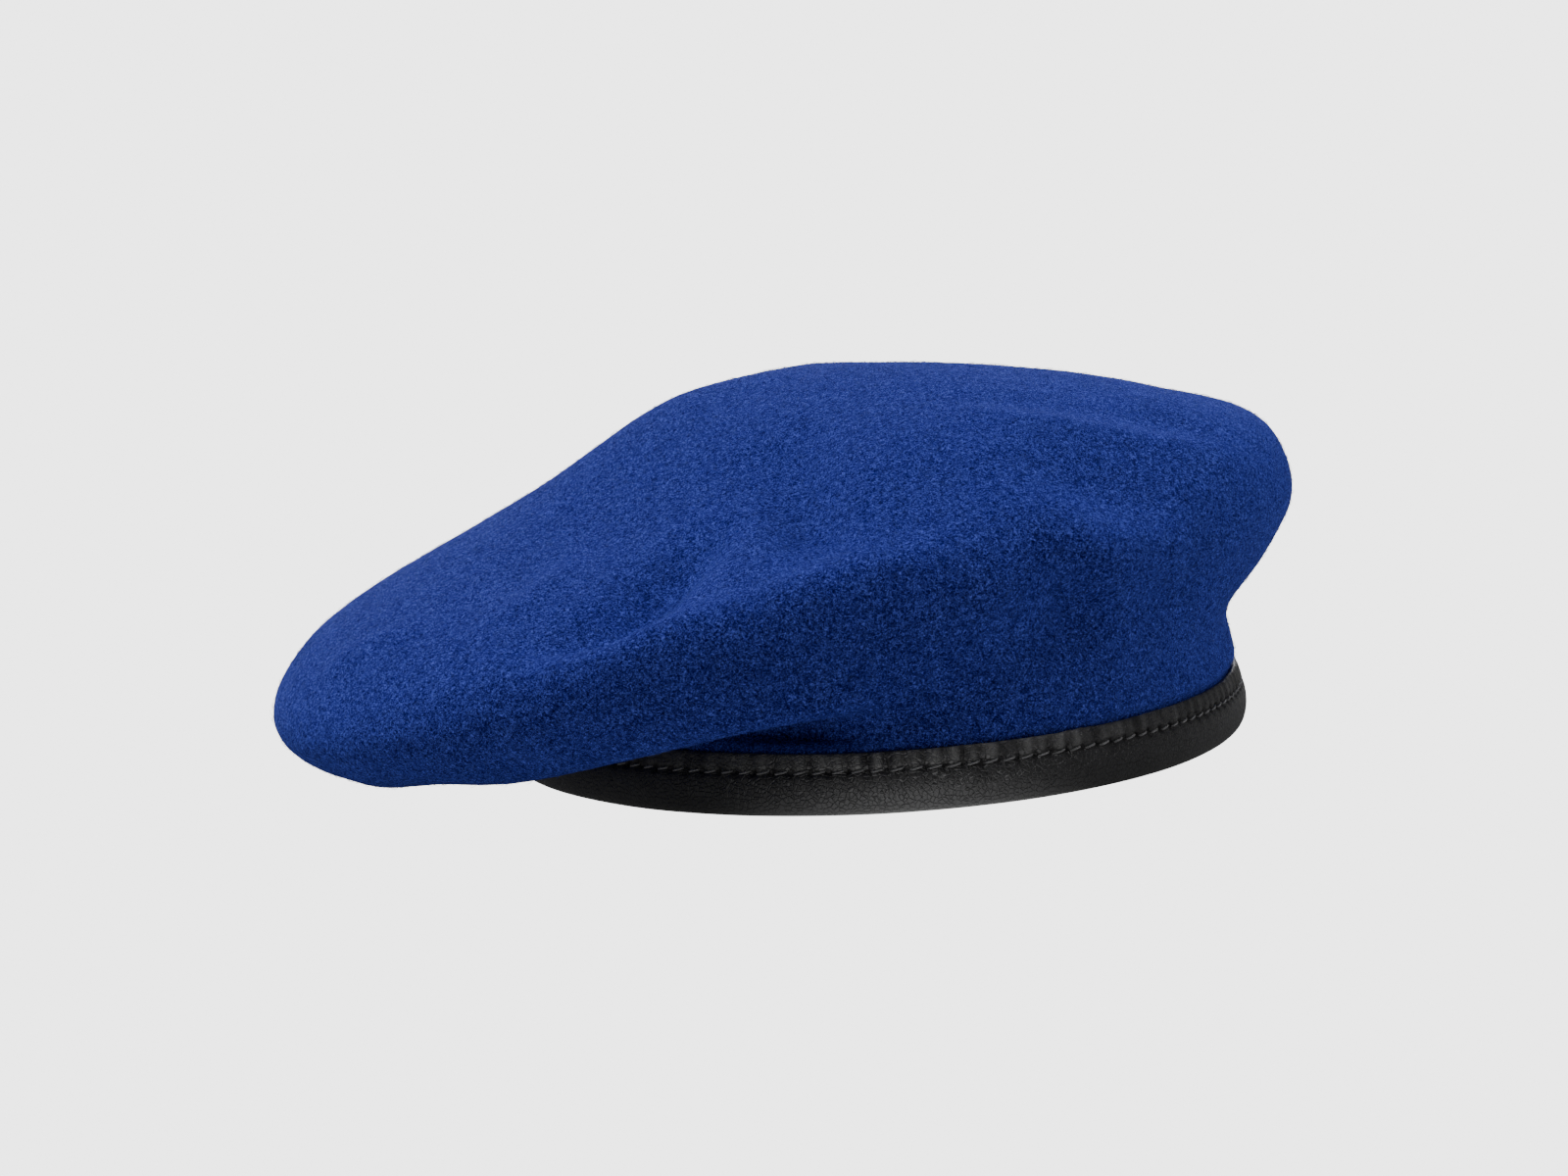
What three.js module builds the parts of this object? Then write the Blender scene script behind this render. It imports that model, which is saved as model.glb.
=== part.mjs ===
import * as THREE from 'three';

// A military beret: a felt crown and the leather band that binds its edge, in millimetres
// The wearer faces -Y, +X is the wearer's left and the crown hangs over to -X
// The origin is the middle of the head opening, level with the foot of the band

// Head opening, an oval of 57 cm round, measured inside the leather
const headLength = 200.8;
const headWidth = 160.4;

// Walls, and the gap that the sewn layers keep
const leatherThickness = 1.1;
const feltThickness = 2.4;
const layerGap = 0.3;

// Band: its flange lies on the felt at the top, leans out to the seam, and its roll stands out below
const bandHeight = 14;
const seamHeight = 10;
const innerHeight = 12.6;
const seamBulge = 1.2;
const rollBulge = 2;
const rollHeight = 5.4;
const rollSteps = 3;
const footInset = 0.8;
const footWidth = 3.6;
const floorThickness = 1.3;

// How far the faces of the layers lie outside the head oval
const feltInside = leatherThickness + layerGap;
const feltOutside = feltInside + feltThickness;
const flangeInside = feltOutside + layerGap;
const flangeOutside = flangeInside + leatherThickness;

// Felt at the band: its cut edge inside the fold, where it leaves the band, and the puff above
const edgeHeight = floorThickness + 0.5;
const mouthHeight = bandHeight + 0.5;
const puffHeight = bandHeight + 1.8;

// The flat top: its height over the origin and how it leans there, as rise per millimetre
const apexHeight = 87.9;
const apexLeanX = 0.02;
const apexLeanY = -0.03;

// Fineness of the faceted model
const turnSteps = 84;
const climbSteps = 24;
const climbCrowding = 1.3;
const curveSteps = 16;

// Sections through the crown, every 30 degrees from +X towards +Y
// Each point is its reach from the upright axis and its height
const section = (turn, neck, under, rim, shoulder, slope, crest) => (
  { turn, points: [neck, under, rim, shoulder, slope, crest] }
);
const sections = [
  section(0, [83.9, 28], [93, 38.6], [100.6, 54], [94.4, 69.2], [66, 79.8], [32, 86]),
  section(30, [88.2, 26], [97, 38], [105.5, 51], [100, 65], [68, 76.5], [33, 84]),
  section(60, [97.8, 25], [106, 35], [115, 46], [110, 59], [68, 75], [34, 82.8]),
  section(90, [104.2, 24], [112, 31], [121, 42], [116, 55], [68, 75], [35, 83.4]),
  section(120, [99.5, 22], [111, 24], [127, 32], [122, 46], [70, 74.5], [36, 84.4]),
  section(150, [92, 18.5], [114, 12.5], [134.5, 17], [127, 31], [73, 65.2], [41, 82.4]),
  section(180, [89, 17.5], [123, 4.3], [139.5, 13.7], [130.9, 31], [74, 63.2], [42, 81.9]),
  section(210, [93, 17], [124, 3.7], [141.8, 14.5], [132.5, 33], [74, 60.5], [41, 79.9]),
  section(240, [99.5, 20], [118.2, 14], [129.4, 28], [125.3, 39], [74, 63], [38, 81.5]),
  section(270, [104, 21], [109.5, 30], [112.4, 45], [108.6, 53.5], [66, 76.5], [34, 84.8]),
  section(300, [98, 24], [96.5, 37], [102.5, 50.5], [98, 61], [80, 76], [36, 87]),
  section(330, [88.2, 26], [93, 39], [98.8, 54], [91.5, 69.5], [62, 81.5], [32, 87]),
];

// How far the puff stands out past the felt at the band, at the same turns as the sections
const puffReaches = [1.2, 1.6, 1.6, 1.2, 1, 0.8, 0.6, 0.5, 0.5, 0.5, 0.9, 1.2];

// Folds, ridges and dents of the felt, each a soft band along a line of stations
// A station is its turn in degrees, its climb in percent from the band to the top, and its rise
const fold = (width, stations) => ({ width, stations });
const folds = {
  frontRidge: fold(6, [
    [220, 32, 0], [230, 31, 1], [238, 29.6, 2.4], [247, 28.4, 2.8], [257, 27.4, 1.8],
    [267, 27.2, 2.3], [276, 28.5, 1.9], [284, 30.5, 0.9], [290, 31, 0],
  ]),
  grooveAboveFrontRidge: fold(9.5, [
    [230, 32.5, 0], [235.5, 33.6, -3.4], [240, 35.4, -6], [241.7, 39.2, -7.6], [242.7, 44, -7.2],
    [244, 49.2, -4.2], [245.5, 56, 0],
  ]),
  arcRidge: fold(9, [
    [276, 34, 0], [282, 35, 0.6], [288, 35, 1], [293, 33.5, 1.2], [297, 30.5, 1.5], [301, 26, 1.8],
    [305.5, 20, 1.5], [312, 13, 0],
  ]),
  valleyUnderTopRidge: fold(9, [
    [295, 49, 0], [298, 43, -1.4], [301.5, 39, -2.5], [306, 36.4, -2.9], [311, 34, -2.5],
    [318, 31, -1.4], [327, 27.5, 0],
  ]),
  topRidge: fold(5, [
    [290, 64, 0], [298, 58.8, 0.8], [304, 54, 1.3], [312, 49, 1.5], [319, 45, 1.5],
    [325, 40.5, 1.4], [332, 37, 1], [340, 35.5, 0],
  ]),
  valleyOverTopRidge: fold(6, [
    [286, 71, 0], [298, 65, -0.6], [312, 59, -0.6], [322, 54, -0.3], [330, 46, -0.8],
    [336, 41.5, 0],
  ]),
  pocketUnderArc: fold(9, [
    [286, 27, 0], [291, 24.5, -1.6], [295, 21.5, -3.1], [297.5, 16.5, -3], [299.5, 10, 0],
  ]),
  sideDimple: fold(6, [[332, 32, 0], [330, 30.5, -0.6], [326, 28, -1.1], [320, 25, -1], [316, 22, 0]]),
  frontDent: fold(9, [
    [246, 73, 0], [253, 64, -2.4], [258.5, 53, -5], [262, 43.2, -6], [264.3, 36, -3.6],
    [266, 31, 0],
  ]),
  sideRidge: fold(6, [[202, 34, 0], [205, 37, 1.1], [208, 39.5, 1.3], [212, 43, 0]]),
  secondSideRidge: fold(6, [[226, 41, 0], [225, 45, 1.6], [224, 49.5, 1.6], [223, 56, 0]]),
  flopUnderside: fold(8, [
    [208, 17.5, 0], [213, 17.5, -0.8], [217.5, 17.2, -1.1], [222, 16.6, -0.7], [227, 15.5, 0],
  ]),
  frontLip: fold(5, [
    [238, 16.5, 0], [248, 13, 0.8], [254, 11, 1.3], [260, 9.2, 2.2], [265, 8, 2.4], [270, 8, 0.8],
    [275, 9, 0],
  ]),
  hollowUnderLip: fold(4.8, [
    [241, 6, 0], [248, 4.2, -4], [255, 3, -7], [261, 2.2, -6.5], [266, 2, -3], [271, 2, 0],
  ]),
};
const foldFadeClimb = 0.012;

const felt = new THREE.MeshStandardMaterial({
  name: 'royal_blue_felt',
  color: 0x1a3a8a,
  roughness: 0.95,
  metalness: 0,
});
const leather = new THREE.MeshStandardMaterial({
  name: 'black_leather',
  color: 0x17171a,
  roughness: 0.45,
  metalness: 0,
});

// Reach of the head oval at a turn, with both half axes longer by the same amount
function ovalReach(turn, outside) {
  const halfWidth = headWidth / 2 + outside;
  const halfLength = headLength / 2 + outside;
  return (halfWidth * halfLength) / Math.hypot(halfLength * Math.cos(turn), halfWidth * Math.sin(turn));
}

// Control values of the closed cubic spline that passes through equally spaced values
function splineControls(values) {
  const count = values.length;
  let controls = values;
  for (let pass = 0; pass < 40; pass += 1) {
    const last = controls;
    controls = values.map((value, i) => (
      (6 * value - last[(i + count - 1) % count] - last[(i + 1) % count]) / 4
    ));
  }
  return controls;
}

// Value of the closed cubic spline at a turn
function splineValue(controls, turn) {
  const count = controls.length;
  const place = (turn / (2 * Math.PI)) * count;
  const first = Math.floor(place);
  const t = place - first;
  const weights = [
    (1 - t) ** 3 / 6,
    (3 * t ** 3 - 6 * t ** 2 + 4) / 6,
    (-3 * t ** 3 + 3 * t ** 2 + 3 * t + 1) / 6,
    t ** 3 / 6,
  ];
  return weights.reduce((sum, weight, k) => sum + weight * controls[(first + k - 1 + count) % count], 0);
}

// One spline for the reach and one for the height of each column of the sections
const columnSplines = sections[0].points.map((_, column) => [0, 1].map(
  (part) => splineControls(sections.map((row) => row.points[column][part])),
));
const puffSpline = splineControls(puffReaches);

// Smooth curve through all points but the first and last, which only steer its ends
function smoothCurve(points, steps) {
  const result = [];
  for (let i = 1; i < points.length - 2; i += 1) {
    const [p0, p1, p2, p3] = points.slice(i - 1, i + 3);
    const d0 = Math.sqrt(p0.distanceTo(p1));
    const d1 = Math.sqrt(p1.distanceTo(p2));
    const d2 = Math.sqrt(p2.distanceTo(p3));
    const slope = (axis, a, b, c, da, db) => (
      (b[axis] - a[axis]) / da - (c[axis] - a[axis]) / (da + db) + (c[axis] - b[axis]) / db
    );
    for (let step = 0; step < steps; step += 1) {
      const t = step / steps;
      const point = new THREE.Vector3();
      for (const axis of ['x', 'y', 'z']) {
        const start = slope(axis, p0, p1, p2, d0, d1) * d1;
        const end = slope(axis, p1, p2, p3, d1, d2) * d1;
        point[axis] = (2 * t ** 3 - 3 * t ** 2 + 1) * p1[axis] + (t ** 3 - 2 * t ** 2 + t) * start
          + (3 * t ** 2 - 2 * t ** 3) * p2[axis] + (t ** 3 - t ** 2) * end;
      }
      result.push(point);
    }
  }
  result.push(points[points.length - 2].clone());
  return result;
}

// Points at the given shares of a curve's length
function pointsAlong(curve, shares) {
  const lengths = [0];
  for (let i = 1; i < curve.length; i += 1) {
    lengths.push(lengths[i - 1] + curve[i].distanceTo(curve[i - 1]));
  }
  return shares.map((share) => {
    const wanted = share * lengths[lengths.length - 1];
    let i = 1;
    while (i < curve.length - 1 && lengths[i] < wanted) {
      i += 1;
    }
    const t = (wanted - lengths[i - 1]) / (lengths[i] - lengths[i - 1]);
    return curve[i - 1].clone().lerp(curve[i], t);
  });
}

// Points of the plain crown at a turn, from the band's mouth to the top, by their climb from 0 to 1
function meridian(turn, climbs) {
  const at = (reach, height) => new THREE.Vector3(reach, 0, height);
  const through = columnSplines.map(
    ([reach, height]) => at(splineValue(reach, turn), splineValue(height, turn)),
  );
  const crest = through[through.length - 1];
  const lean = apexLeanX * Math.cos(turn) + apexLeanY * Math.sin(turn);
  const points = [
    at(ovalReach(turn, feltOutside), edgeHeight),
    at(ovalReach(turn, feltOutside), mouthHeight),
    at(ovalReach(turn, feltOutside) + splineValue(puffSpline, turn), puffHeight),
    ...through,
    at(0, apexHeight),
    at(-crest.x, crest.z - 2 * crest.x * lean),
  ];
  const up = new THREE.Vector3(0, 0, 1);
  return pointsAlong(smoothCurve(points, curveSteps), climbs).map((point) => point.applyAxisAngle(up, turn));
}

// The line of a fold on the plain crown, as points with their rise
function foldLine({ stations }) {
  const points = stations.map(([turn, climb, rise]) => new THREE.Vector3(turn, climb, rise));
  const before = points[0].clone().multiplyScalar(2).sub(points[1]);
  const after = points[points.length - 1].clone().multiplyScalar(2).sub(points[points.length - 2]);
  return smoothCurve([before, ...points, after], curveSteps).map(({ x: turn, y: climb, z: rise }) => (
    { point: meridian(THREE.MathUtils.degToRad(turn), [climb / 100])[0], rise }
  ));
}

// Rise of a fold at a point: the rise at its nearest station, fading as a bell over its width
function foldRise(line, width, point) {
  const nearest = line.reduce((best, station) => (
    station.point.distanceToSquared(point) < best.point.distanceToSquared(point) ? station : best
  ));
  return nearest.rise * Math.exp(-nearest.point.distanceToSquared(point) / width ** 2);
}

// Outward normals of rings of points that each run once round the axis
function ringNormals(rings, top) {
  return rings.map((ring, i) => ring.map((_, j) => {
    const count = ring.length;
    const below = rings[Math.max(i - 1, 0)][j];
    const above = i + 1 < rings.length ? rings[i + 1][j] : top;
    const along = new THREE.Vector3().subVectors(ring[(j + 1) % count], ring[(j + count - 1) % count]);
    const upwards = new THREE.Vector3().subVectors(above, below);
    return along.cross(upwards).normalize();
  }));
}

// Felt's outside as rings from the cut edge to just below the top, with every fold raised
function feltRings() {
  const turns = Array.from({ length: turnSteps }, (_, i) => (2 * Math.PI * i) / turnSteps);
  const climbs = Array.from({ length: climbSteps }, (_, i) => (i / climbSteps) ** climbCrowding);
  const meridians = turns.map((turn) => meridian(turn, climbs));
  const rings = climbs.map((_, i) => meridians.map((points) => points[i]));
  const top = new THREE.Vector3(0, 0, apexHeight);
  const normals = ringNormals(rings, top);
  const lines = Object.values(folds).map((item) => ({ line: foldLine(item), width: item.width }));
  const raised = rings.map((ring, i) => ring.map((point, j) => {
    const rise = lines.reduce((sum, { line, width }) => sum + foldRise(line, width, point), 0);
    const fade = Math.min(climbs[i] / foldFadeClimb, 1);
    return point.clone().addScaledVector(normals[i][j], rise * fade);
  }));
  const edge = turns.map((turn) => {
    const reach = ovalReach(turn, feltOutside);
    return new THREE.Vector3(reach * Math.cos(turn), reach * Math.sin(turn), edgeHeight);
  });
  return { rings: [edge, ...raised], top };
}

// Closed mesh over rings that run once round, either capped by two poles or joined last to first
function ringGeometry(rings, poles) {
  const count = rings[0].length;
  const vertices = rings.flat();
  const triangles = [];
  const rowCount = poles ? rings.length - 1 : rings.length;
  for (let i = 0; i < rowCount; i += 1) {
    for (let j = 0; j < count; j += 1) {
      const a = i * count + j;
      const b = i * count + ((j + 1) % count);
      const c = ((i + 1) % rings.length) * count + ((j + 1) % count);
      const d = ((i + 1) % rings.length) * count + j;
      triangles.push(a, b, c, a, c, d);
    }
  }
  if (poles) {
    const firstPole = vertices.length;
    vertices.push(...poles);
    const lastRing = (rings.length - 1) * count;
    for (let j = 0; j < count; j += 1) {
      triangles.push(firstPole, (j + 1) % count, j);
      triangles.push(lastRing + j, lastRing + ((j + 1) % count), firstPole + 1);
    }
  }
  const geometry = new THREE.BufferGeometry().setFromPoints(vertices);
  geometry.setIndex(triangles);
  geometry.computeVertexNormals();
  return geometry;
}

// Crown: the felt's inside from its top down to the cut edge, then the outside back up
function crown() {
  const { rings, top } = feltRings();
  const normals = ringNormals(rings, top);
  const inside = rings.map((ring, i) => ring.map((point, j) => (
    point.clone().addScaledVector(normals[i][j], -feltThickness)
  )));
  const insideTop = new THREE.Vector3(0, 0, apexHeight - feltThickness);
  const mesh = new THREE.Mesh(ringGeometry([...inside.reverse(), ...rings], [insideTop, top]), felt);
  mesh.name = 'crown';
  return mesh;
}

// Band: a leather strip folded round the felt's edge, as a section carried round the head oval
// Each point of the section is how far it lies outside the head oval and its height
function band() {
  const seamOutside = flangeOutside + seamBulge;
  const rollOutside = flangeOutside + rollBulge;
  const rollInside = rollOutside - leatherThickness;
  const footOutside = footInset + footWidth;
  const quarters = Array.from({ length: rollSteps }, (_, i) => (i / rollSteps) * (Math.PI / 2));
  const rollBelow = quarters.map((angle) => [
    footOutside + (rollOutside - footOutside) * Math.sin(angle),
    rollHeight * (1 - Math.cos(angle)),
  ]);
  const rollAbove = quarters.map((angle) => [
    seamOutside + (rollOutside - seamOutside) * Math.cos(angle),
    rollHeight + (seamHeight - rollHeight) * (angle / (Math.PI / 2)),
  ]);
  const profile = [
    [footInset, 0],
    ...rollBelow,
    ...rollAbove,
    [seamOutside, seamHeight],
    [flangeOutside, bandHeight],
    [flangeInside, bandHeight],
    [seamOutside - leatherThickness, seamHeight],
    [rollInside, rollHeight],
    [footOutside, floorThickness],
    [leatherThickness, floorThickness],
    [leatherThickness, innerHeight],
    [0, innerHeight],
    [0, footInset],
  ];
  const rings = profile.map(([outside, height]) => Array.from({ length: turnSteps }, (_, i) => {
    const turn = (2 * Math.PI * i) / turnSteps;
    const reach = ovalReach(turn, outside);
    return new THREE.Vector3(reach * Math.cos(turn), reach * Math.sin(turn), height);
  }));
  const mesh = new THREE.Mesh(ringGeometry(rings, null), leather);
  mesh.name = 'band';
  return mesh;
}

const beret = new THREE.Group();
beret.name = 'beret';
beret.add(crown(), band());

export default beret;
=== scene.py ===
import bpy
import math
import numpy as np
from mathutils import Matrix, Vector


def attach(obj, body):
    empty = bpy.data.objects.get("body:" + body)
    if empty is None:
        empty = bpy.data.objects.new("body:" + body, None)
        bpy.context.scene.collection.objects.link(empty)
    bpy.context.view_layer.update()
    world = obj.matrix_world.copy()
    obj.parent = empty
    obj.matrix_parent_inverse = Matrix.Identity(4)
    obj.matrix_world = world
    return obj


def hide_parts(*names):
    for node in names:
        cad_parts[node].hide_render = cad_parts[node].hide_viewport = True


# A felt beret on its leather band, resting on a pale floor.
# Shapes are worked out in millimetres, as numpy arrays, and go into the meshes in metres.

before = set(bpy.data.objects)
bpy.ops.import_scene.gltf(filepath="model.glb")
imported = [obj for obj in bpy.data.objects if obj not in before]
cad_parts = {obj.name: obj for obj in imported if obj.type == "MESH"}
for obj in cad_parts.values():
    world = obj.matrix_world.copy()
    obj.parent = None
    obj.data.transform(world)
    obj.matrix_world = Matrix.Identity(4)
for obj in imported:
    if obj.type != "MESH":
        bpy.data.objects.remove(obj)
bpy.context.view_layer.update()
mm = 0.001
print("frame loaded")

head = dict(length=200.8, width=160.4)  # inside of the band, 57 cm round
walls = dict(leather=1.1, felt=2.4, gap=0.3)
feltInside = walls["leather"] + walls["gap"]
feltOutside = feltInside + walls["felt"]
flangeInside = feltOutside + walls["gap"]
flangeOutside = flangeInside + walls["leather"]


def ovalPoint(turn, outside, height):
    # point of the head oval grown by outside: reach = a b / sqrt((b cos t)^2 + (a sin t)^2)
    a, b = head["width"] / 2 + outside, head["length"] / 2 + outside
    reach = a * b / np.hypot(b * np.cos(turn), a * np.sin(turn))
    return np.stack([reach * np.cos(turn), reach * np.sin(turn), height + 0 * turn], -1)


def closedSpline(values, turn):
    # cubic B-spline round the circle through equally spaced values; its controls are found by
    # repeating control = (6 value - control before - control after) / 4
    values = np.asarray(values, float)
    controls = values
    for _ in range(40):
        controls = (6 * values - np.roll(controls, 1, 0) - np.roll(controls, -1, 0)) / 4
    place = turn / (2 * np.pi) * len(values)
    first = np.floor(place).astype(int)
    t = (place - first).reshape([-1] + [1] * (values.ndim - 1))
    weights = [(1 - t) ** 3 / 6, (3 * t**3 - 6 * t**2 + 4) / 6,
               (-3 * t**3 + 3 * t**2 + 3 * t + 1) / 6, t**3 / 6]
    return sum(w * controls[(first + k - 1) % len(values)] for k, w in enumerate(weights))


def smoothCurve(points, steps=16):
    # centripetal Catmull-Rom through points[1..-2], dt = sqrt(distance), steps samples a span
    parts = []
    for i in range(1, points.shape[-2] - 2):
        p = [points[..., i + k, :] for k in (-1, 0, 1, 2)]
        d = [np.sqrt(np.linalg.norm(p[k + 1] - p[k], axis=-1))[..., None] for k in range(3)]
        start = (p[1] - p[0]) / d[0] - (p[2] - p[0]) / (d[0] + d[1]) + (p[2] - p[1]) / d[1]
        end = (p[2] - p[1]) / d[1] - (p[3] - p[1]) / (d[1] + d[2]) + (p[3] - p[2]) / d[2]
        for t in np.arange(steps) / steps:
            parts.append((2 * t**3 - 3 * t**2 + 1) * p[1] + (t**3 - 2 * t**2 + t) * start * d[1]
                         + (3 * t**2 - 2 * t**3) * p[2] + (t**3 - t**2) * end * d[1])
    parts.append(points[..., -2, :])
    return np.stack(parts, -2)


def softNoise(points, cell, seed):
    # value noise in -1..1: random lattice values blended by f f (3 - 2 f), a lattice step every cell mm
    rng = np.random.default_rng(seed)
    size = 64  # lattice steps until it repeats
    lattice = rng.uniform(-1, 1, (size, size, size))
    place = points / cell + size / 2
    low = np.floor(place).astype(int)
    f = place - low
    f = f * f * (3 - 2 * f)
    total = 0
    for dx in (0, 1):
        for dy in (0, 1):
            for dz in (0, 1):
                corner = lattice[(low[..., 0] + dx) % size, (low[..., 1] + dy) % size,
                                 (low[..., 2] + dz) % size]
                total = total + corner * (f[..., 0] if dx else 1 - f[..., 0]) \
                    * (f[..., 1] if dy else 1 - f[..., 1]) * (f[..., 2] if dz else 1 - f[..., 2])
    return total


def ringNormals(rings):
    # n = d(point)/d(turn) x d(point)/d(climb), from neighbours on the grid (rings, turns, 3)
    along = np.roll(rings, -1, 1) - np.roll(rings, 1, 1)
    up = np.gradient(rings, axis=0)
    normal = np.cross(along, up)
    return normal / np.maximum(np.linalg.norm(normal, axis=-1, keepdims=True), 1e-12)


def ringMesh(name, rings, poles=None):
    # closed skin over rings that run round: capped by a pole at each end, or joined last to first
    count, size = rings.shape[:2]
    last = count if poles is None else count - 1
    i, j = np.meshgrid(np.arange(last), np.arange(size), indexing="ij")
    nextRing, nextTurn = (i + 1) % count, (j + 1) % size
    quads = np.stack([i * size + j, i * size + nextTurn,
                      nextRing * size + nextTurn, nextRing * size + j], -1)
    vertices, faces = rings.reshape(-1, 3), quads.reshape(-1, 4)
    caps = np.empty((0, 3), int)
    if poles is not None:
        vertices = np.concatenate([vertices, poles])
        turn = np.arange(size)
        after, rim, pole = (turn + 1) % size, (count - 1) * size, count * size
        caps = np.concatenate([np.stack([turn * 0 + pole, after, turn], -1),
                               np.stack([rim + turn, rim + after, turn * 0 + pole + 1], -1)])
    return makeMesh(name, vertices, faces, caps)


def makeMesh(name, vertices, quads, triangles=()):
    # arrays straight into a mesh, quads first, then triangles
    triangles = np.asarray(triangles, int).reshape(-1, 3)
    mesh = bpy.data.meshes.new(name)
    mesh.vertices.add(len(vertices))
    mesh.vertices.foreach_set("co", (np.asarray(vertices) * mm).astype(np.float32).ravel())
    loops = np.concatenate([np.asarray(quads, int).ravel(), triangles.ravel()])
    mesh.loops.add(len(loops))
    mesh.loops.foreach_set("vertex_index", loops.astype(np.int32))
    sizes = np.concatenate([np.full(len(quads), 4), np.full(len(triangles), 3)])
    mesh.polygons.add(len(sizes))
    mesh.polygons.foreach_set("loop_start", (np.cumsum(sizes) - sizes).astype(np.int32))
    mesh.polygons.foreach_set("use_smooth", np.ones(len(sizes), bool))
    mesh.update(calc_edges=True)
    mesh.validate()
    piece = bpy.data.objects.new(name, mesh)
    bpy.context.scene.collection.objects.link(piece)
    return piece


# Crown: sections every 30 degrees from +X towards +Y, each point its reach from the axis and its height
crownShape = dict(
    turnSteps=440, climbSteps=150, insideEvery=4, seed=11,
    edgeHeight=1.8, mouthHeight=14.5, puffHeight=15.8,
    apexHeight=87.9, apexLean=(0.02, -0.03),
    foldFadeClimb=0.012, apexFadeClimb=0.05,  # folds fade out over these shares at the mouth and the apex
    rippleHeight=0.35, rippleCell=24, dimpleHeight=0.10, dimpleCell=5.5,
)
crownSections = [  # neck, under, rim, shoulder, slope, crest
    [(83.9, 28), (93, 38.6), (100.6, 54), (94.4, 69.2), (66, 79.8), (32, 86)],
    [(88.2, 26), (97, 38), (105.5, 51), (100, 65), (68, 76.5), (33, 84)],
    [(97.8, 25), (106, 35), (115, 46), (110, 59), (68, 75), (34, 82.8)],
    [(104.2, 24), (112, 31), (121, 42), (116, 55), (68, 75), (35, 83.4)],
    [(99.5, 22), (111, 24), (127, 32), (122, 46), (70, 74.5), (36, 84.4)],
    [(92, 18.5), (114, 12.5), (134.5, 17), (127, 31), (73, 65.2), (41, 82.4)],
    [(89, 17.5), (123, 4.3), (139.5, 13.7), (130.9, 31), (74, 63.2), (42, 81.9)],
    [(93, 17), (124, 3.7), (141.8, 14.5), (132.5, 33), (74, 60.5), (41, 79.9)],
    [(99.5, 20), (118.2, 14), (129.4, 28), (125.3, 39), (74, 63), (38, 81.5)],
    [(104, 21), (109.5, 30), (112.4, 45), (108.6, 53.5), (66, 76.5), (34, 84.8)],
    [(98, 24), (96.5, 37), (102.5, 50.5), (98, 61), (80, 76), (36, 87)],
    [(88.2, 26), (93, 39), (98.8, 54), (91.5, 69.5), (62, 81.5), (32, 87)],
]
# how far the felt puffs out over the band, at the same turns
puffReaches = [1.2, 1.6, 1.6, 1.2, 1, 0.8, 0.6, 0.5, 0.5, 0.5, 0.9, 1.2]
# folds: width, then stations of turn in degrees, climb in percent and rise
crownFolds = dict(
    frontRidge=(6, [
        (220, 32, 0), (230, 31, 1), (238, 29.6, 2.4), (247, 28.4, 2.8), (257, 27.4, 1.8),
        (267, 27.2, 2.3), (276, 28.5, 1.9), (284, 30.5, 0.9), (290, 31, 0)]),
    grooveAboveFrontRidge=(9.5, [
        (230, 32.5, 0), (235.5, 33.6, -3.4), (240, 35.4, -6), (241.7, 39.2, -7.6),
        (242.7, 44, -7.2), (244, 49.2, -4.2), (245.5, 56, 0)]),
    arcRidge=(9, [
        (276, 34, 0), (282, 35, 0.6), (288, 35, 1), (293, 33.5, 1.2), (297, 30.5, 1.5),
        (301, 26, 1.8), (305.5, 20, 1.5), (312, 13, 0)]),
    valleyUnderTopRidge=(9, [
        (295, 49, 0), (298, 43, -1.4), (301.5, 39, -2.5), (306, 36.4, -2.9), (311, 34, -2.5),
        (318, 31, -1.4), (327, 27.5, 0)]),
    topRidge=(5, [
        (290, 64, 0), (298, 58.8, 0.8), (304, 54, 1.3), (312, 49, 1.5), (319, 45, 1.5),
        (325, 40.5, 1.4), (332, 37, 1), (340, 35.5, 0)]),
    valleyOverTopRidge=(6, [
        (286, 71, 0), (298, 65, -0.6), (312, 59, -0.6), (322, 54, -0.3), (330, 46, -0.8),
        (336, 41.5, 0)]),
    pocketUnderArc=(9, [
        (286, 27, 0), (291, 24.5, -1.6), (295, 21.5, -3.1), (297.5, 16.5, -3), (299.5, 10, 0)]),
    sideDimple=(6, [
        (332, 32, 0), (330, 30.5, -0.6), (326, 28, -1.1), (320, 25, -1), (316, 22, 0)]),
    frontDent=(9, [
        (246, 73, 0), (253, 64, -2.4), (258.5, 53, -5), (262, 43.2, -6), (264.3, 36, -3.6),
        (266, 31, 0)]),
    sideRidge=(6, [(202, 34, 0), (205, 37, 1.1), (208, 39.5, 1.3), (212, 43, 0)]),
    secondSideRidge=(6, [(226, 41, 0), (225, 45, 1.6), (224, 49.5, 1.6), (223, 56, 0)]),
    flopUnderside=(8, [
        (208, 17.5, 0), (213, 17.5, -0.8), (217.5, 17.2, -1.1), (222, 16.6, -0.7), (227, 15.5, 0)]),
    frontLip=(5, [
        (238, 16.5, 0), (248, 13, 0.8), (254, 11, 1.3), (260, 9.2, 2.2), (265, 8, 2.4),
        (270, 8, 0.8), (275, 9, 0)]),
    hollowUnderLip=(4.8, [
        (241, 6, 0), (248, 4.2, -4), (255, 3, -7), (261, 2.2, -6.5), (266, 2, -3), (271, 2, 0)]),
)


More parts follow.
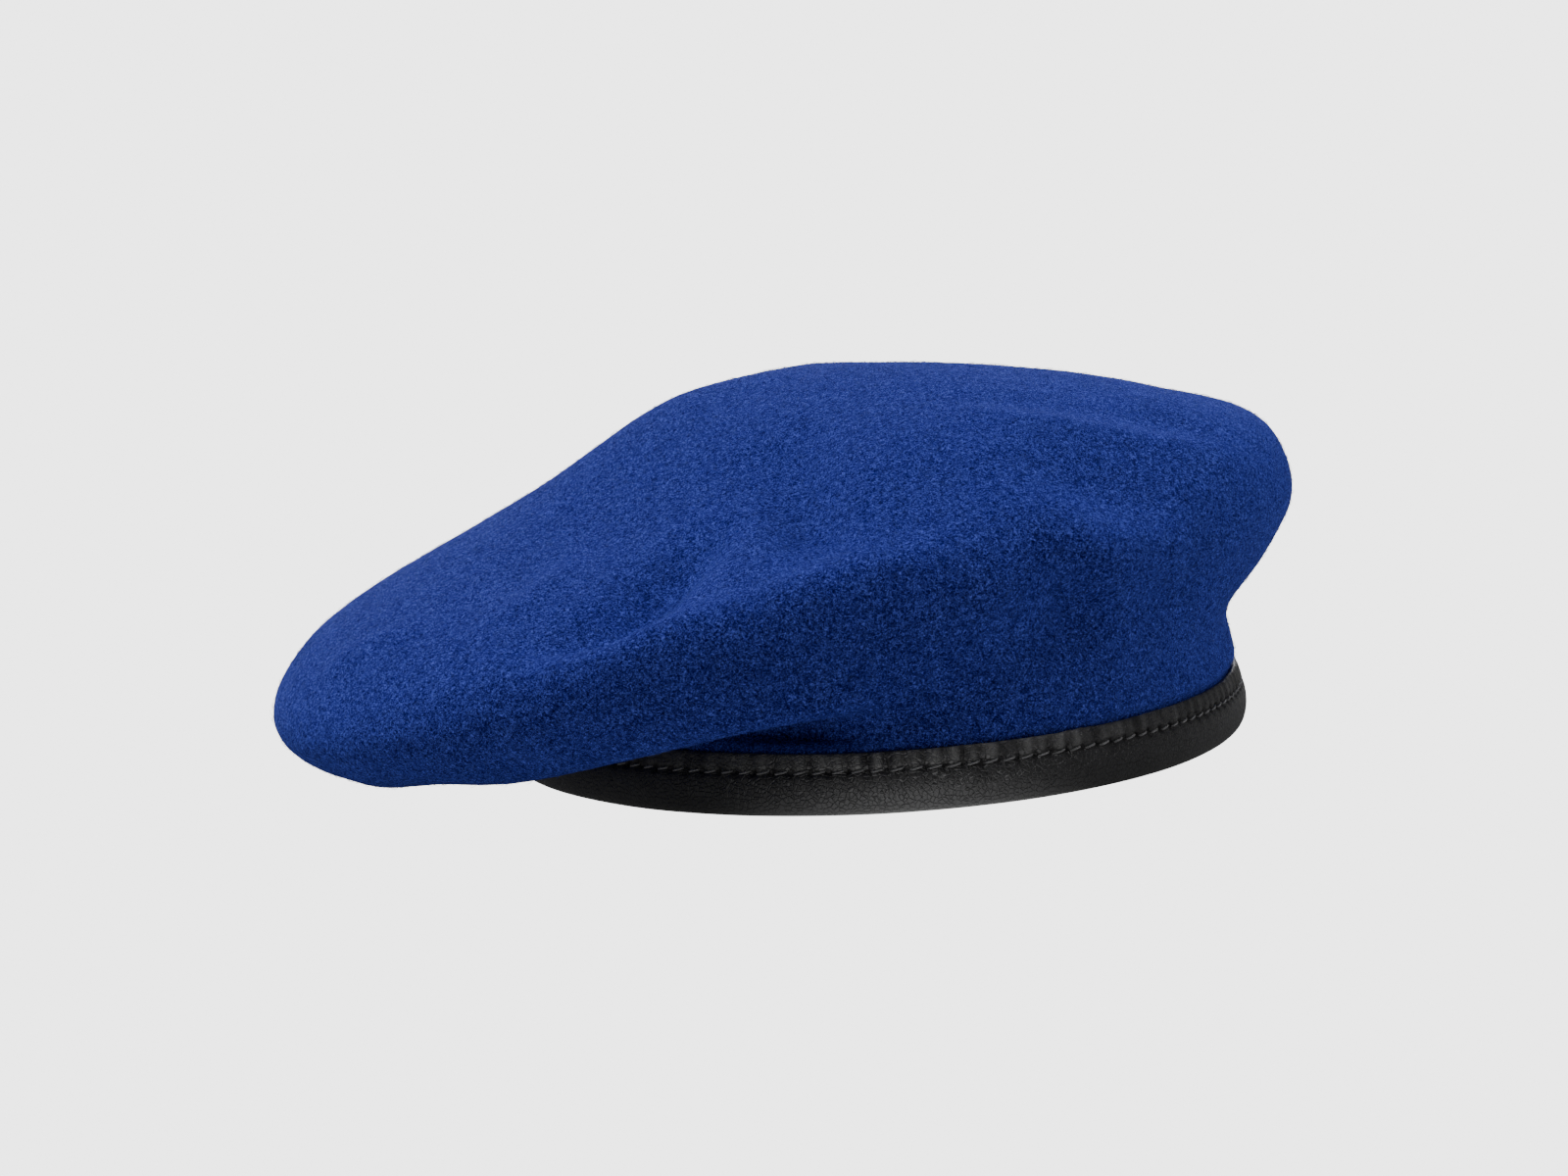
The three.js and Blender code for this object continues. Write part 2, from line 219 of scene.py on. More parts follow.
def crownMeridians(turns, climbs):
    # point = curve through mouth, puff, sections and apex, taken at shares of its length,
    # as an array (turns, climbs, 3)
    s = crownShape
    through = closedSpline(crownSections, turns)
    reachAt = lambda outside: np.linalg.norm(ovalPoint(turns, outside, 0 * turns)[:, :2], axis=-1)
    column = lambda reach, height: np.stack([reach + 0 * turns, height + 0 * turns], -1)
    crest = through[:, -1]
    lean = s["apexLean"][0] * np.cos(turns) + s["apexLean"][1] * np.sin(turns)
    points = [column(reachAt(feltOutside), s["edgeHeight"]), column(reachAt(feltOutside), s["mouthHeight"]),
              column(reachAt(feltOutside) + closedSpline(puffReaches, turns), s["puffHeight"])]
    points += [through[:, k] for k in range(through.shape[1])]
    points += [column(0, s["apexHeight"]), column(-crest[:, 0], crest[:, 1] - 2 * crest[:, 0] * lean)]
    curve = smoothCurve(np.stack(points, 1))
    lengths = np.cumsum(np.linalg.norm(np.diff(curve, axis=1), axis=-1), 1)
    lengths = np.concatenate([0 * lengths[:, :1], lengths], 1)
    flat = np.stack([[np.interp(climbs[i] * lengths[i, -1], lengths[i], curve[i, :, k]) for k in (0, 1)]
                     for i in range(len(turns))])
    reach, height = flat[:, 0], flat[:, 1]
    return np.stack([reach * np.cos(turns)[:, None], reach * np.sin(turns)[:, None], height], -1)


def foldRise(points, width, stations):
    # rise of the nearest place on the fold's line times exp(-distance^2 / width^2)
    line = np.array(stations, float)
    line = smoothCurve(np.concatenate([[2 * line[0] - line[1]], line, [2 * line[-1] - line[-2]]]))
    turns, climbs, rises = np.radians(line[:, 0]), line[:, 1:2] / 100, line[:, 2]
    places = crownMeridians(turns, climbs)[:, 0]
    rise, nearest = np.zeros(points.shape[:2]), np.full(points.shape[:2], np.inf)
    for place, height in zip(places, rises):
        distance = ((points - place) ** 2).sum(-1)
        closer = distance < nearest
        rise, nearest = np.where(closer, height, rise), np.minimum(distance, nearest)
    return rise * np.exp(-nearest / width**2)


def crownSkin():
    # outside of the felt as rings (climb, turn, 3): plain crown + normal * (folds + soft noise) * fade
    s = crownShape
    turns = np.arange(s["turnSteps"]) / s["turnSteps"] * 2 * np.pi
    climbs = np.arange(s["climbSteps"]) / s["climbSteps"]
    rings = crownMeridians(turns, np.tile(climbs, (len(turns), 1))).transpose(1, 0, 2)
    rise = sum(foldRise(rings, width, stations) for width, stations in crownFolds.values())
    rise = rise + s["rippleHeight"] * softNoise(rings, s["rippleCell"], s["seed"])
    rise = rise + s["dimpleHeight"] * softNoise(rings, s["dimpleCell"], s["seed"] + 1)
    fade = np.clip(climbs / s["foldFadeClimb"], 0, 1) * np.clip((1 - climbs) / s["apexFadeClimb"], 0, 1)
    rings = rings + ringNormals(rings) * (rise * fade[:, None])[..., None]
    return np.concatenate([ovalPoint(turns, feltOutside, s["edgeHeight"])[None], rings])


def buildCrown():
    # hollow felt: inside = outside - normal * wall, and the two are joined round the mouth
    outside = crownSkin()
    inside = (outside - walls["felt"] * ringNormals(outside))[::crownShape["insideEvery"]]
    top = np.array([[0, 0, crownShape["apexHeight"] - walls["felt"]], [0, 0, crownShape["apexHeight"]]])
    piece = ringMesh("felt_crown", np.concatenate([inside[::-1], outside]), top)
    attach(piece, "root")
    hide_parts("crown")
    return piece, outside


# Nap: short curly hairs that lie on the felt's outside
napShape = dict(
    hairs=11500, length=(0.9, 2.2), thickness=0.045, curl=1.5, seed=5,
    lift=0.28, liftSpread=(0.4, 1.6), arch=(0.15, 0.95, 0.75), taper=(1.0, 0.8, 0.35),  # at root, middle, tip
)


def buildNap(skin):
    # hair = three rings of three sides: centre = root + heading * share of length + normal * lift * arch,
    # the heading turning by bend from root to tip
    s = napShape
    rng = np.random.default_rng(s["seed"])
    normals = ringNormals(skin)
    grid, normals = skin[2:], normals[2:]  # from just above the band
    across = np.linalg.norm(np.roll(grid, -1, 1) - grid, axis=-1)[:-1]
    upward = np.linalg.norm(np.diff(grid, axis=0), axis=-1)
    share = (across * upward).ravel()
    pick = rng.choice(share.size, s["hairs"], p=share / share.sum())
    ring, turn = np.divmod(pick, grid.shape[1])
    a, b = rng.random((2, s["hairs"], 1))
    nextTurn = (turn + 1) % grid.shape[1]
    root = (1 - a) * ((1 - b) * grid[ring, turn] + b * grid[ring, nextTurn]) \
        + a * ((1 - b) * grid[ring + 1, turn] + b * grid[ring + 1, nextTurn])
    normal = normals[ring, turn]
    side = np.cross(normal, [0, 0, 1.0])
    side = side / np.maximum(np.linalg.norm(side, axis=-1, keepdims=True), 1e-6)
    other = np.cross(normal, side)
    heading = rng.uniform(0, 2 * np.pi, (s["hairs"], 1))
    bend = rng.uniform(-s["curl"], s["curl"], (s["hairs"], 1))
    length = rng.uniform(*s["length"], (s["hairs"], 1))
    lift = s["lift"] * rng.uniform(*s["liftSpread"], (s["hairs"], 1))
    rings = []
    place = root
    for step, (arch, taper) in enumerate(zip(s["arch"], s["taper"])):
        angle = heading + bend * step / 2
        forward = np.cos(angle) * side + np.sin(angle) * other
        if step:
            place = place + forward * length / 2
        centre = place + normal * (lift * arch)
        cross = np.cross(normal, forward)
        thickness = s["thickness"] * taper
        rings.append(np.stack([centre + thickness * (cross * math.cos(c) + normal * math.sin(c))
                               for c in (math.pi / 2, math.pi * 7 / 6, math.pi * 11 / 6)], 1))
    vertices = np.stack(rings, 1).reshape(-1, 3)
    base = np.arange(s["hairs"])[:, None, None] * 9
    corner = np.arange(3)
    quads = np.array([[3 * r + c, 3 * r + (c + 1) % 3, 3 * r + 3 + (c + 1) % 3, 3 * r + 3 + c]
                      for r in (0, 1) for c in corner])
    caps = np.array([[2, 1, 0], [6, 7, 8]])
    piece = makeMesh("felt_nap", vertices, (base + quads).reshape(-1, 4), (base + caps).reshape(-1, 3))
    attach(piece, "root")
    return piece


# Band: the leather strip, folded round the felt's edge and sewn through its flange
bandShape = dict(
    height=14, seamHeight=10, innerHeight=12.6, seamBulge=1.2, rollBulge=2, rollHeight=5.4,
    footInset=0.8, footWidth=3.6, floorThickness=1.3, edgeRound=0.45, innerRound=0.3,
    stitches=140, columnsPerStitch=10, seed=21,
    seamDepth=0.35, seamWidth=0.7, holeDepth=1.1, holeHeight=0.8, holeShare=0.18,
    puckerDepth=0.45, puckerCell=2.4, puckerStretch=0.22,  # stretched upward by its inverse
    # the same front share also sets where the painted highlight on the flange lies
    puckersFrom=278, puckersReach=36, puckersLeast=0.25,  # strongest turn, how far they run, share elsewhere
    waveHeight=0.18, waveCell=17, edgeLift=0.22, edgeCell=9,
)


def bandProfile():
    # section of the strip as (outside, height): flat foot, quarter ellipse, cosine flank, leaning flange,
    # then the inside; with it the slice of its points that make the outer face
    s = bandShape
    seamOutside, rollOutside = flangeOutside + s["seamBulge"], flangeOutside + s["rollBulge"]
    footOutside = s["footInset"] + s["footWidth"]
    below = np.linspace(0, np.pi / 2, 11)[1:]
    above = np.linspace(0, np.pi / 2, 17)[1:]
    flange = np.linspace(s["seamHeight"], s["height"] - s["edgeRound"], 9)[1:]
    edge = np.linspace(0, np.pi / 2, 5)[1:]
    line = [(s["footInset"], 0), (footOutside * 0.5 + s["footInset"] * 0.5, 0), (footOutside, 0)]
    faceStart = len(line)
    line += [(footOutside + (rollOutside - footOutside) * math.sin(t), s["rollHeight"] * (1 - math.cos(t)))
             for t in below]
    line += [(seamOutside + (rollOutside - seamOutside) * math.cos(t),
              s["rollHeight"] + (s["seamHeight"] - s["rollHeight"]) * t / (np.pi / 2)) for t in above]
    line += [(seamOutside + (flangeOutside - seamOutside) * (h - s["seamHeight"])
              / (s["height"] - s["seamHeight"]), h) for h in flange]
    line += [(flangeOutside - s["edgeRound"] * (1 - math.cos(t)),
              s["height"] - s["edgeRound"] * (1 - math.sin(t))) for t in edge]
    faceEnd = len(line)
    line += [(flangeInside, s["height"] - 0.15), (seamOutside - walls["leather"], s["seamHeight"]),
             (rollOutside - walls["leather"], s["rollHeight"]), (footOutside, s["floorThickness"]),
             (walls["leather"], s["floorThickness"]),
             (walls["leather"], s["innerHeight"] - s["innerRound"]),
             (walls["leather"] * 0.72, s["innerHeight"]), (walls["leather"] * 0.28, s["innerHeight"]),
             (0, s["innerHeight"] - s["innerRound"])]
    line += [(0, h) for h in np.linspace(s["innerHeight"] - 2.2, s["footInset"], 6)]
    line += [(s["footInset"] * 0.25, s["footInset"] * 0.3)]
    return np.array(line, float), slice(faceStart, faceEnd)


def bandTurns(count):
    # turns that lie at even steps of the band's length
    fine = np.linspace(0, 2 * np.pi, 4001)
    steps = np.linalg.norm(np.diff(ovalPoint(fine, flangeOutside, 0), axis=0), axis=-1)
    length = np.concatenate([[0], np.cumsum(steps)])
    return np.interp(np.arange(count) / count * length[-1], length, fine)


def buildBand():
    # outer face moved outward by puckers + slow wave - seam groove - holes, each a bell or cosine in turn
    # and height; puckers fade by front = least + (1 - least) exp(-(turn off / reach)^2), and the tops of
    # the puckers get a paler mark that is partly scuffing and partly a painted highlight, kept to the front
    s = bandShape
    turns = bandTurns(s["stitches"] * s["columnsPerStitch"])
    profile, face = bandProfile()
    outside = np.repeat(profile[:, :1], len(turns), 1)
    height = np.repeat(profile[:, 1:], len(turns), 1)
    outer = np.zeros((len(profile), 1))
    outer[face] = 1  # from the roll to the flange's top edge
    phase = np.arange(len(turns)) / s["columnsPerStitch"] * 2 * np.pi  # one turn of it a stitch
    points = ovalPoint(np.tile(turns, (len(profile), 1)), outside, height)
    fromSeam = height - s["seamHeight"]
    groove = -s["seamDepth"] * np.exp(-(fromSeam / s["seamWidth"]) ** 2) * (0.8 + 0.2 * np.cos(phase))
    fromHole = (phase / (2 * np.pi) % 1 - 0.5) / s["holeShare"]
    holes = -s["holeDepth"] * np.exp(-(fromSeam / s["holeHeight"]) ** 2 - fromHole**2)
    crinkle = softNoise(points * [1, 1, s["puckerStretch"]], s["puckerCell"], s["seed"])
    above = np.clip(fromSeam / 1.2, 0, 1)
    below = np.clip(-fromSeam, 0, 1) * np.exp(fromSeam / 2.4)
    front = np.exp(-((np.degrees(turns) - s["puckersFrom"]) / s["puckersReach"]) ** 2)
    front = s["puckersLeast"] + (1 - s["puckersLeast"]) * front
    pleats = (crinkle * 1.3 + 0.7 * np.cos(phase)) * above + (crinkle + 0.4 * np.cos(phase)) * below
    puckers = s["puckerDepth"] * front * pleats
    wave = s["waveHeight"] * softNoise(points * [1, 1, 0.5], s["waveCell"], s["seed"] + 1)
    outside = outside + outer * (groove + holes + puckers + wave)
    lift = s["edgeLift"] * softNoise(points * [1, 1, 0], s["edgeCell"], s["seed"] + 2)
    height = height + outer * (lift * np.clip(fromSeam / 4, 0, 1))
    points = ovalPoint(np.tile(turns, (len(profile), 1)), outside, height)
    piece = ringMesh("leather_band", points)
    # paler mark on the pucker tops above the seam: partly scuffing, partly a painted highlight, since front
    # squared keeps it to the front of the band, where the light falls, and off the shaded right end
    wearAndPaintedHighlight = outer * above * front**2 * np.clip(0.35 + 0.8 * crinkle + 0.25 * np.cos(phase), 0, 1)
    rubbedAndHighlit = piece.data.attributes.new("wearAndPaintedHighlight", "FLOAT", "POINT")
    rubbedAndHighlit.data.foreach_set("value", wearAndPaintedHighlight.astype(np.float32).ravel())
    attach(piece, "root")
    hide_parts("band")
    return piece


# Thread: lock stitches through the flange, one row outside and one inside
threadShape = dict(radius=0.26, length=0.76, proud=0.2, sink=0.8, slant=0.7, sides=8, rings=11, fineSteps=64)


def buildStitches():
    # stitch = tube along outside = face + proud - sink (2u - 1)^4 and height = seam + slant (u - 1/2),
    # with u in 0..1
    s = threadShape
    count, sides, rings = bandShape["stitches"], s["sides"], s["rings"]
    fine = count * s["fineSteps"]
    turns = bandTurns(fine)
    rows = []
    for outward, face in ((1, flangeOutside + bandShape["seamBulge"] - bandShape["seamDepth"]), (-1, 0)):
        u = np.linspace(0, 1, rings)
        stitch = np.arange(count)[:, None]
        place = ((stitch + (u - 0.5) * s["length"]) * s["fineSteps"]) % fine
        turn = np.interp(place, np.arange(fine + 1), np.append(turns, 2 * np.pi))
        reach = face + outward * (s["proud"] - s["sink"] * (2 * u - 1) ** 4)
        height = bandShape["seamHeight"] + s["slant"] * (u - 0.5)
        width = s["radius"] * np.sqrt(np.clip(1 - np.abs(2 * u - 1) ** 6, 0.05, 1))
        around = np.arange(sides) / sides * 2 * np.pi
        outside = (reach[:, None] + width[:, None] * np.cos(around))[None]
        level = (height[:, None] + outward * width[:, None] * np.sin(around))[None]
        ring = ovalPoint(turn[..., None] + 0 * around, outside, level)
        rows.append(ring.reshape(count, rings * sides, 3))
    vertices = np.concatenate(rows).reshape(-1, 3)
    i, j = np.meshgrid(np.arange(rings - 1), np.arange(sides), indexing="ij")
    quads = np.stack([i * sides + j, i * sides + (j + 1) % sides,
                      (i + 1) * sides + (j + 1) % sides, (i + 1) * sides + j], -1).reshape(-1, 4)
    fan = np.arange(1, sides - 1)
    first = np.stack([0 * fan, fan + 1, fan], -1)
    last = np.stack([0 * fan, fan, fan + 1], -1) + (rings - 1) * sides
    base = np.arange(2 * count)[:, None, None] * rings * sides
    piece = makeMesh("seam_stitches", vertices, (base + quads).reshape(-1, 4),
                     (base + np.concatenate([first, last])).reshape(-1, 3))
    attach(piece, "root")
    return piece


# A material and short ways to add its nodes
class Nodes:
    def __init__(self, name):
        self.material = bpy.data.materials.new(name)
        self.material.use_nodes = True
        self.tree = self.material.node_tree
        self.shader = self.tree.nodes["Principled BSDF"]

    def add(self, kind, links=None, **values):
        # a node with its own values or its sockets' set, then the links into its sockets
        node = self.tree.nodes.new(kind)
        for key, value in values.items():
            if key in node.inputs:
                node.inputs[key].default_value = value
            else:
                setattr(node, key, value)
        for key, socket in (links or {}).items():
            self.tree.links.new(socket, node.inputs[key])
        return node

    def math(self, operation, *terms):
        # result of an operation on terms that are sockets or numbers
        node = self.add("ShaderNodeMath", operation=operation)
        for socket, term in zip(node.inputs, terms):
            if isinstance(term, bpy.types.NodeSocket):
                self.tree.links.new(term, socket)
            else:
                socket.default_value = term
        return node.outputs[0]

    def span(self, value, source, target, **values):
        # value taken from the source's span to the target's, and kept inside it
        node = self.add("ShaderNodeMapRange", {"Value": value}, **values)
        node.inputs["From Min"].default_value, node.inputs["From Max"].default_value = source
        node.inputs["To Min"].default_value, node.inputs["To Max"].default_value = target
        return node.outputs["Result"]

    def noise(self, place, scale, detail=2.0, roughness=0.5, distortion=0.0):
        # soft noise in 0..1, scale of its lumps to a metre
        return self.add("ShaderNodeTexNoise", {"Vector": place}, Scale=scale, Detail=detail,
                        Roughness=roughness, Distortion=distortion).outputs["Fac"]

    def ramp(self, factor, places, colors):
        # colours blended between their places on 0..1
        node = self.add("ShaderNodeValToRGB", {"Fac": factor})
        while len(node.color_ramp.elements) < len(places):
            node.color_ramp.elements.new(0.5)
        for element, place, color in zip(node.color_ramp.elements, places, colors):
            element.position = place
            element.color = (*color, 1)
        return node.outputs["Color"]

    def cover(self, factor, under, color):
        # colour laid over another by a factor
        node = self.add("ShaderNodeMix", {0: factor, 6: under}, data_type="RGBA")
        node.inputs[7].default_value = (*color, 1)
        return node.outputs[2]

    def bump(self, height, look):
        # normal tilted by the height's slope, bump strong and bumpHeight metres deep
        node = self.add("ShaderNodeBump", {"Height": height}, Strength=look["bump"],
                        Distance=look["bumpHeight"])
        self.into("Normal", node.outputs["Normal"])

    def into(self, name, socket):
        # a result into the shader
        self.tree.links.new(socket, self.shader.inputs[name])

    def plain(self, values):
        # one value for the whole surface, on the shader's own socket
        for name, value in values.items():
            self.shader.inputs[name].default_value = value


feltLook = dict(
    dark=(0.0001, 0.0006, 0.05), middle=(0.0007, 0.0024, 0.15), light=(0.0035, 0.008, 0.36),
    stops=(0.43, 0.53, 0.65), patchShare=0.06,
    speck=(1900, 3.0, 0.65, 1.6), curl=(760, 5.0, 0.7, 2.2),  # scale, detail, roughness, distortion
    patch=(70, 3.0, 0.6),
    fibre=(0.13, 0.18, 0.83), fibres=((1120, 0.0), (1720, 0.31)), fibreWidth=0.066,
    gap=(0.0001, 0.0002, 0.025), gaps=((940, 0.57), (1470, 0.83)), gapWidth=0.17,
    lineBreaks=(0.85, 1.15),  # breaks the fibres and gaps into short pieces
    sheen=(0.0, 1.0), sheenTint=(0.07, 0.11, 0.62), sheenRoughness=0.3,
    roughness=0.93, shine=0.02, bump=0.6, bumpHeight=0.0003,
)


def curlyLines(n, place, layers, width):
    # line = 1 - |noise - 1/2| / width: where a soft noise passes its middle value runs a thin curly line
    lines = None
    for scale, shift in layers:
        moved = n.add("ShaderNodeMapping", {"Vector": place})
        moved.inputs["Location"].default_value = (shift, shift * 2, shift * 3)
        wander = n.noise(moved.outputs["Vector"], scale, detail=1.5, roughness=0.55, distortion=1.0)
        aside = n.math("ABSOLUTE", n.math("SUBTRACT", wander, 0.5))
        line = n.span(aside, (0, width), (1, 0))
        lines = line if lines is None else n.math("MAXIMUM", lines, line)
    return lines


def feltMaterial():
    # colour = ramp of (speck + curl) / 2 + patch * share, covered by broken dark gaps and pale fibres;
    # relief = speck + curl + fibre - gap, and the sheen grows with fibre - gap
    look = feltLook
    n = Nodes("blueFelt")
    place = n.add("ShaderNodeTexCoord").outputs["Object"]
    speck, curl, patch = [n.noise(place, *look[kind]) for kind in ("speck", "curl", "patch")]
    both = n.math("ADD", speck, curl)
    patched = n.math("MULTIPLY_ADD", patch, look["patchShare"], n.math("MULTIPLY", both, 0.5))
    color = n.ramp(patched, look["stops"], (look["dark"], look["middle"], look["light"]))
    broken = n.span(both, look["lineBreaks"], (0, 1))
    relief = {}
    for kind in ("gap", "fibre"):
        relief[kind] = curlyLines(n, place, look[kind + "s"], look[kind + "Width"])
        color = n.cover(n.math("MULTIPLY", relief[kind], broken), color, look[kind])
    n.into("Base Color", color)
    above = n.math("SUBTRACT", relief["fibre"], relief["gap"])
    n.into("Sheen Weight", n.span(above, (-1, 1), look["sheen"]))
    n.bump(n.math("ADD", both, above), look)
    n.plain({"Roughness": look["roughness"], "Specular IOR Level": look["shine"],
             "Sheen Roughness": look["sheenRoughness"], "Sheen Tint": (*look["sheenTint"], 1)})
    return n.material


hairLook = dict(dark=(0.012, 0.022, 0.16), light=(0.050, 0.075, 0.38), stops=(0.35, 0.65), change=260,
                roughness=0.8, shine=0.2, sheen=0.25, sheenTint=(0.3, 0.4, 1.0))


def hairMaterial():
    # colour = ramp of a noise that changes from hair to hair
    look = hairLook
    n = Nodes("woolHairs")
    change = n.noise(n.add("ShaderNodeTexCoord").outputs["Object"], look["change"])
    n.into("Base Color", n.ramp(change, look["stops"], (look["dark"], look["light"])))
    n.plain({"Roughness": look["roughness"], "Specular IOR Level": look["shine"],
             "Sheen Weight": look["sheen"], "Sheen Tint": (*look["sheenTint"], 1)})
    return n.material


# the pale colour is scuffed leather on the pucker tops and also a painted highlight on the flange's front
leatherLook = dict(
    dark=(0.008, 0.008, 0.009), light=(0.020, 0.020, 0.022), wornAndHighlit=(0.10, 0.10, 0.10), stops=(0.3, 0.75),
    scuff=(120, 5.0, 0.65), pores=(2400, 3.0, 0.6), poreShare=0.8, grain=900, creaseWidth=0.12,
    roughness=(0.32, 0.46), shine=0.7, bump=0.75, bumpHeight=0.0003,
)


def leatherMaterial():
    # colour = ramp of scuff, covered by pale leather (scuffing and a painted highlight) where the band's mark
    # says;
    # roughness follows scuff, and relief = pores * share + distance from the nearest crease
    look = leatherLook
    n = Nodes("blackLeather")
    place = n.add("ShaderNodeTexCoord").outputs["Object"]
    grain = n.add("ShaderNodeTexVoronoi", {"Vector": place}, Scale=look["grain"], feature="DISTANCE_TO_EDGE")
    creases = n.span(grain.outputs["Distance"], (0, look["creaseWidth"]), (0, 1))
    pores, scuff = n.noise(place, *look["pores"]), n.noise(place, *look["scuff"])
    color = n.ramp(scuff, look["stops"], (look["dark"], look["light"]))
    # the band's mark: scuffed pucker tops and a painted highlight on the front of the flange
    wearAndPaintedHighlight = n.add("ShaderNodeAttribute", attribute_name="wearAndPaintedHighlight").outputs["Fac"]
    n.into("Base Color", n.cover(wearAndPaintedHighlight, color, look["wornAndHighlit"]))
    n.into("Roughness", n.span(scuff, (0, 1), look["roughness"]))
    n.bump(n.math("MULTIPLY_ADD", pores, look["poreShare"], creases), look)
    n.plain({"Specular IOR Level": look["shine"]})
    return n.material


# light: pale twist stripes, partly a painted glint on the black thread
threadLook = dict(dark=(0.02, 0.02, 0.021), light=(0.3, 0.3, 0.31), stops=(0.2, 0.9), twist=1800,
                  roughness=0.42, shine=0.6, bump=0.5, bumpHeight=0.0002)


def threadMaterial():
    # colour and relief follow slanting waves, the twist of the thread; the pale stripes are also a painted
    # glint on the black thread
    look = threadLook
    n = Nodes("blackThread")
    turned = n.add("ShaderNodeMapping", {"Vector": n.add("ShaderNodeTexCoord").outputs["Object"]})
    turned.inputs["Rotation"].default_value = (0.5, 0.6, 0)
    twist = n.add("ShaderNodeTexWave", {"Vector": turned.outputs["Vector"]}, Scale=look["twist"],
                  Distortion=1.0).outputs["Fac"]
    n.into("Base Color", n.ramp(twist, look["stops"], (look["dark"], look["light"])))
    n.bump(twist, look)
    n.plain({"Roughness": look["roughness"], "Specular IOR Level": look["shine"]})
    return n.material


crown, skin = buildCrown()
crown.data.materials.append(feltMaterial())
print("crown", len(crown.data.polygons), "faces")
nap = buildNap(skin)
nap.data.materials.append(hairMaterial())
print("nap", len(nap.data.polygons), "faces")
band = buildBand()
band.data.materials.append(leatherMaterial())
print("band", len(band.data.polygons), "faces")
stitches = buildStitches()
stitches.data.materials.append(threadMaterial())
print("stitches", len(stitches.data.polygons), "faces")


# Studio: a pale floor, and wide soft lights from above, from the right, from the left and from behind
studio = dict(
    floorSize=24.0, floorColor=0.35, floorGlow=3.6, floorShine=0.26, floorRoughness=0.9,
    # painted reflection and shade for the leather: mirrored rays see the floor dimmed by mirroredShare and a
    # bright patch round a centre in front of the band, which lays a highlight along the roll's lower edge
    mirroredShare=0.42, paintedReflectionShine=1.55, paintedReflectionCentre=(10, -128, 0), paintedReflectionReach=62,  # what the leather mirrors
    sky=(1.0, 1.0, 1.0), skyStrength=0.12,
    lights=dict(  # strength, width in degrees, then how far from the front and from the right, in degrees
        topLight=(3.0, 45, -2, -12),
        rightLight=(2.5, 60, -30, 76),
        leftLight=(1.15, 50, -26, -60),
        backLight=(1.9, 50, -74, -46),
    ),
    mirroredLights=("topLight", "backLight"),  # the others don't glint on the leather
)


def floorPaint():
    # seen straight on it glows as a plain bright ground; to other rays it is a pale grey floor. Mirrored rays
    # see it dimmed, a painted shade in the leather's reflections, and also see a painted reflection: a bright
    # patch that fades out over its reach
    s = studio
    n = Nodes("paleFloor")
    path = n.add("ShaderNodeLightPath")
    seen, mirrored = path.outputs["Is Camera Ray"], path.outputs["Is Glossy Ray"]
    place = n.add("ShaderNodeTexCoord").outputs["Object"]
    dimmed = n.span(mirrored, (0, 1), (1, s["mirroredShare"]))
    shade = n.span(n.noise(place, 3.0), (0, 1), (s["floorColor"] * 0.98, s["floorColor"]))
    grey = n.math("MULTIPLY", shade, n.math("SUBTRACT", 1, seen))
    n.into("Base Color", n.math("MULTIPLY", grey, dimmed))
    # painted reflection: a bright patch round the centre that only mirrored rays see
    away = n.add("ShaderNodeVectorMath", {0: place}, operation="DISTANCE")
    away.inputs[1].default_value = Vector(s["paintedReflectionCentre"]) * mm
    paintedReflection = n.span(away.outputs["Value"], (0, s["paintedReflectionReach"] * mm), (s["paintedReflectionShine"], 0),
                  interpolation_type="SMOOTHSTEP")
    glow = n.span(seen, (0, 1), (s["floorShine"], s["floorGlow"]))
    shine = n.math("MULTIPLY", glow, dimmed)
    n.into("Emission Strength", n.math("MULTIPLY_ADD", paintedReflection, mirrored, shine))
    n.plain({"Roughness": s["floorRoughness"], "Specular IOR Level": 0, "Emission Color": (1, 1, 1, 1)})
    return n.material


